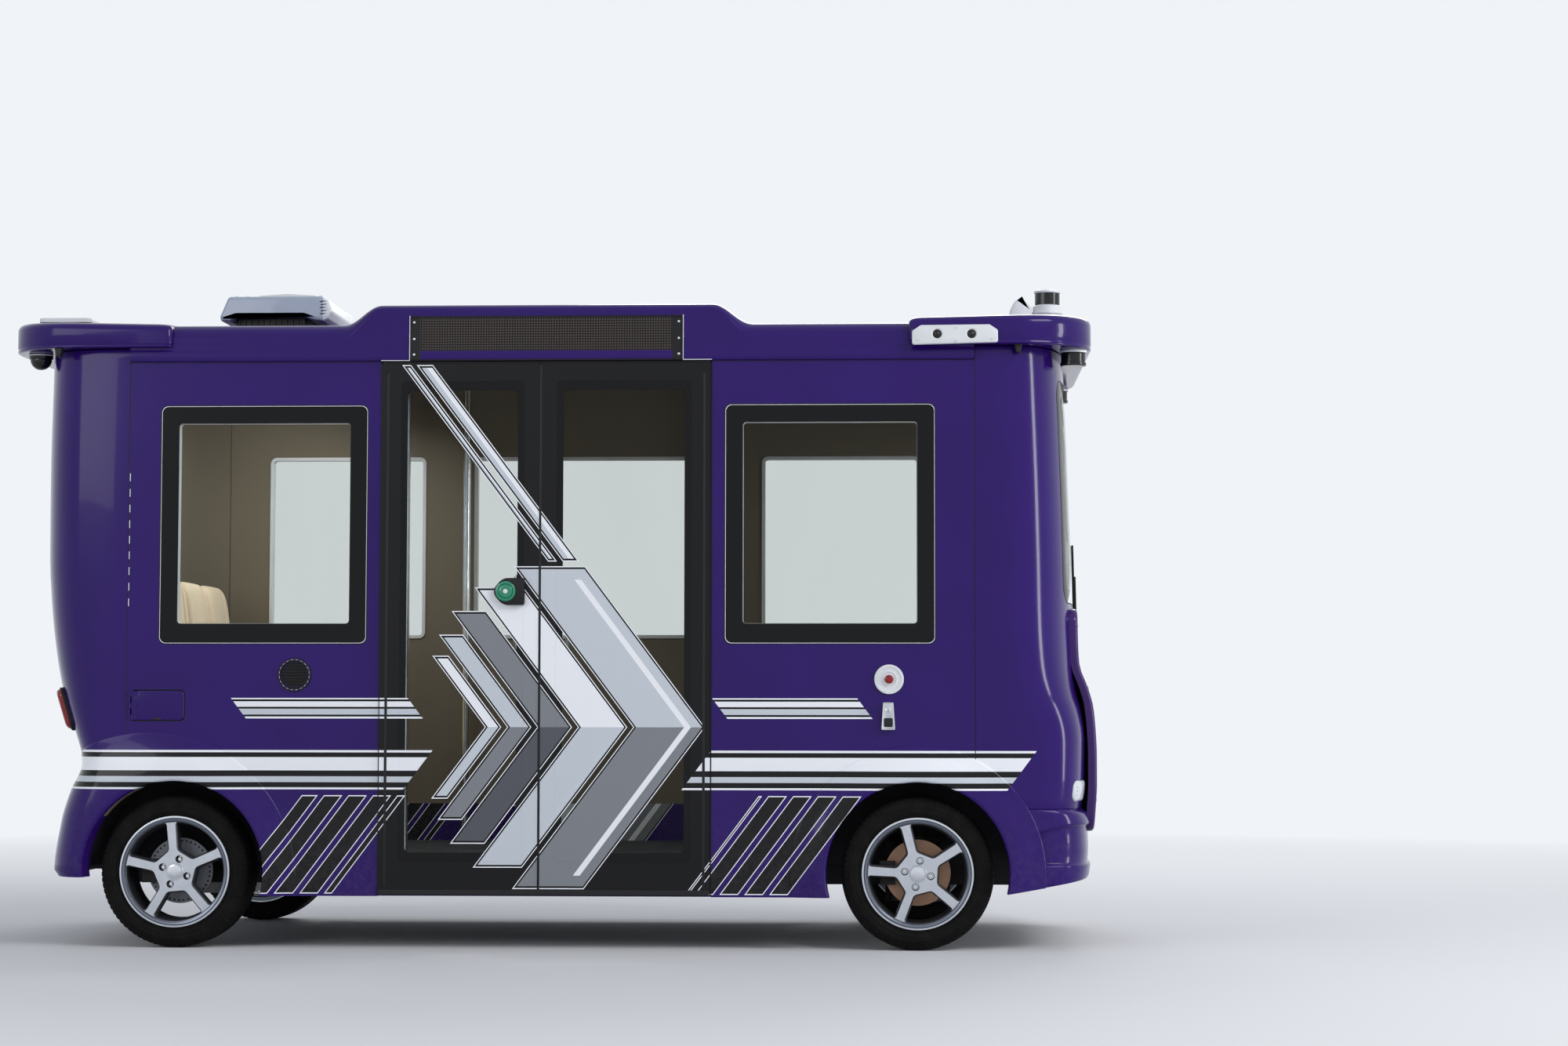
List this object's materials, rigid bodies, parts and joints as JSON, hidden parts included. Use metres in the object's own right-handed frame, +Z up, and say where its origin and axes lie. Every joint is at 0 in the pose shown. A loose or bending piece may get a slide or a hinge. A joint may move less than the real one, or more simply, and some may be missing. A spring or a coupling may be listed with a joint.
{
  "type": "driverless airport passenger bus",
  "caption": "Short driverless passenger bus with flat sides, rounded ends, roof sensors, a double door and steered front wheels.",
  "frame": {"origin": "on the ground in the middle between the axles, which is the middle of the bounding box's base", "axes": "+X to the bus's front, +Y to its left side, away from the door, +Z up"},
  "size_m": [4.224, 1.8946, 2.627],
  "materials": {
    "body_violet": "high gloss violet film over a moulded panel",
    "nose_violet": "high gloss dark violet",
    "frame_black": "satin black",
    "underbody": "matt black coating",
    "battery_case": "satin grey",
    "cast_alloy": "as cast",
    "axle_iron": "dark coated",
    "sign_black": "matt black matrix face",
    "tinted_glass": "tinted, polished",
    "door_black": "gloss black",
    "silver_cover": "satin silver",
    "sensor_white": "satin white",
    "sensor_black": "gloss black",
    "seat_beige": "fine grain beige",
    "pole_steel": "brushed",
    "lamp_clear": "clear lens",
    "lamp_red": "red lens",
    "black_plastic": "fine grain black",
    "latch_chrome": "polished",
    "tyre": "matt black rubber",
    "alloy_wheel": "bright silver lacquer",
    "disc_iron": "light surface rust"
  },
  "bodies": {
    "bus": {"chassis_frame": "frame_black", "crossmembers": "frame_black", "floor_pan": "underbody", "wheel_housings": "underbody", "battery_block": "battery_case", "drive_unit": "cast_alloy", "rear_axle": "axle_iron", "front_axle": "axle_iron", "side_right": "body_violet", "side_left": "body_violet", "front_end": "body_violet", "front_bumper": "body_violet", "rear_end": "body_violet", "rear_skirt": "body_violet", "roof": "body_violet", "roof_caps": "body_violet", "led_sign": "sign_black", "windscreen": "tinted_glass", "rear_window": "tinted_glass", "side_glass": "tinted_glass", "door_leaf_rear": "door_black", "door_leaf_front": "door_black", "door_glass": "tinted_glass", "nose_panel": "nose_violet", "arch_flares": "body_violet", "ac_unit": "silver_cover", "roof_lidar": "sensor_white", "corner_lidars": "sensor_black", "dome_cameras": "sensor_black", "camera_pods": "sensor_white", "seats": "seat_beige", "seat_frames": "seat_beige", "grab_poles": "pole_steel", "headlamps": "lamp_clear", "tail_lamps": "lamp_red", "wiper": "black_plastic", "round_vent": "black_plastic", "stop_button": "sensor_white", "side_latch": "latch_chrome", "door_button": "black_plastic", "charge_inlet": "black_plastic"},
    "knuckle_right": {"knuckle_right": "axle_iron"},
    "knuckle_left": {"knuckle_left": "axle_iron"},
    "charge_flap": {"charge_flap": "body_violet"},
    "wheel_front_right": {"tyre_front_right": "tyre", "rim_front_right": "alloy_wheel", "disc_front_right": "disc_iron"},
    "wheel_front_left": {"tyre_front_left": "tyre", "rim_front_left": "alloy_wheel", "disc_front_left": "disc_iron"},
    "wheel_rear_right": {"tyre_rear_right": "tyre", "rim_rear_right": "alloy_wheel", "disc_rear_right": "disc_iron"},
    "wheel_rear_left": {"tyre_rear_left": "tyre", "rim_rear_left": "alloy_wheel", "disc_rear_left": "disc_iron"}
  },
  "joints": [
    {"name": "steer_right", "type": "hinge", "parent": "bus", "child": "knuckle_right", "pos_m": [1.415, -0.7, 0.289], "axis": [0, 0, 1], "range_deg": [-25, 25]},
    {"name": "steer_left", "type": "hinge", "parent": "bus", "child": "knuckle_left", "pos_m": [1.415, 0.7, 0.289], "axis": [0, 0, 1], "range_deg": [-25, 25]},
    {"name": "spin_front_right", "type": "hinge", "parent": "knuckle_right", "child": "wheel_front_right", "pos_m": [1.415, -0.773, 0.289], "axis": [0, 1, 0], "continuous": true},
    {"name": "spin_front_left", "type": "hinge", "parent": "knuckle_left", "child": "wheel_front_left", "pos_m": [1.415, 0.773, 0.289], "axis": [0, 1, 0], "continuous": true},
    {"name": "spin_rear_right", "type": "hinge", "parent": "bus", "child": "wheel_rear_right", "pos_m": [-1.415, -0.773, 0.289], "axis": [0, 1, 0], "continuous": true},
    {"name": "spin_rear_left", "type": "hinge", "parent": "bus", "child": "wheel_rear_left", "pos_m": [-1.415, 0.773, 0.289], "axis": [0, 1, 0], "continuous": true},
    {"name": "flap_hinge", "type": "hinge", "parent": "bus", "child": "charge_flap", "pos_m": [-1.592, -0.8883, 0.921], "axis": [0, 0, -1], "range_deg": [0, 95]}
  ],
  "couplings": [
    {"joint": "steer_left", "follows": "steer_right", "ratio": 1}
  ]
}
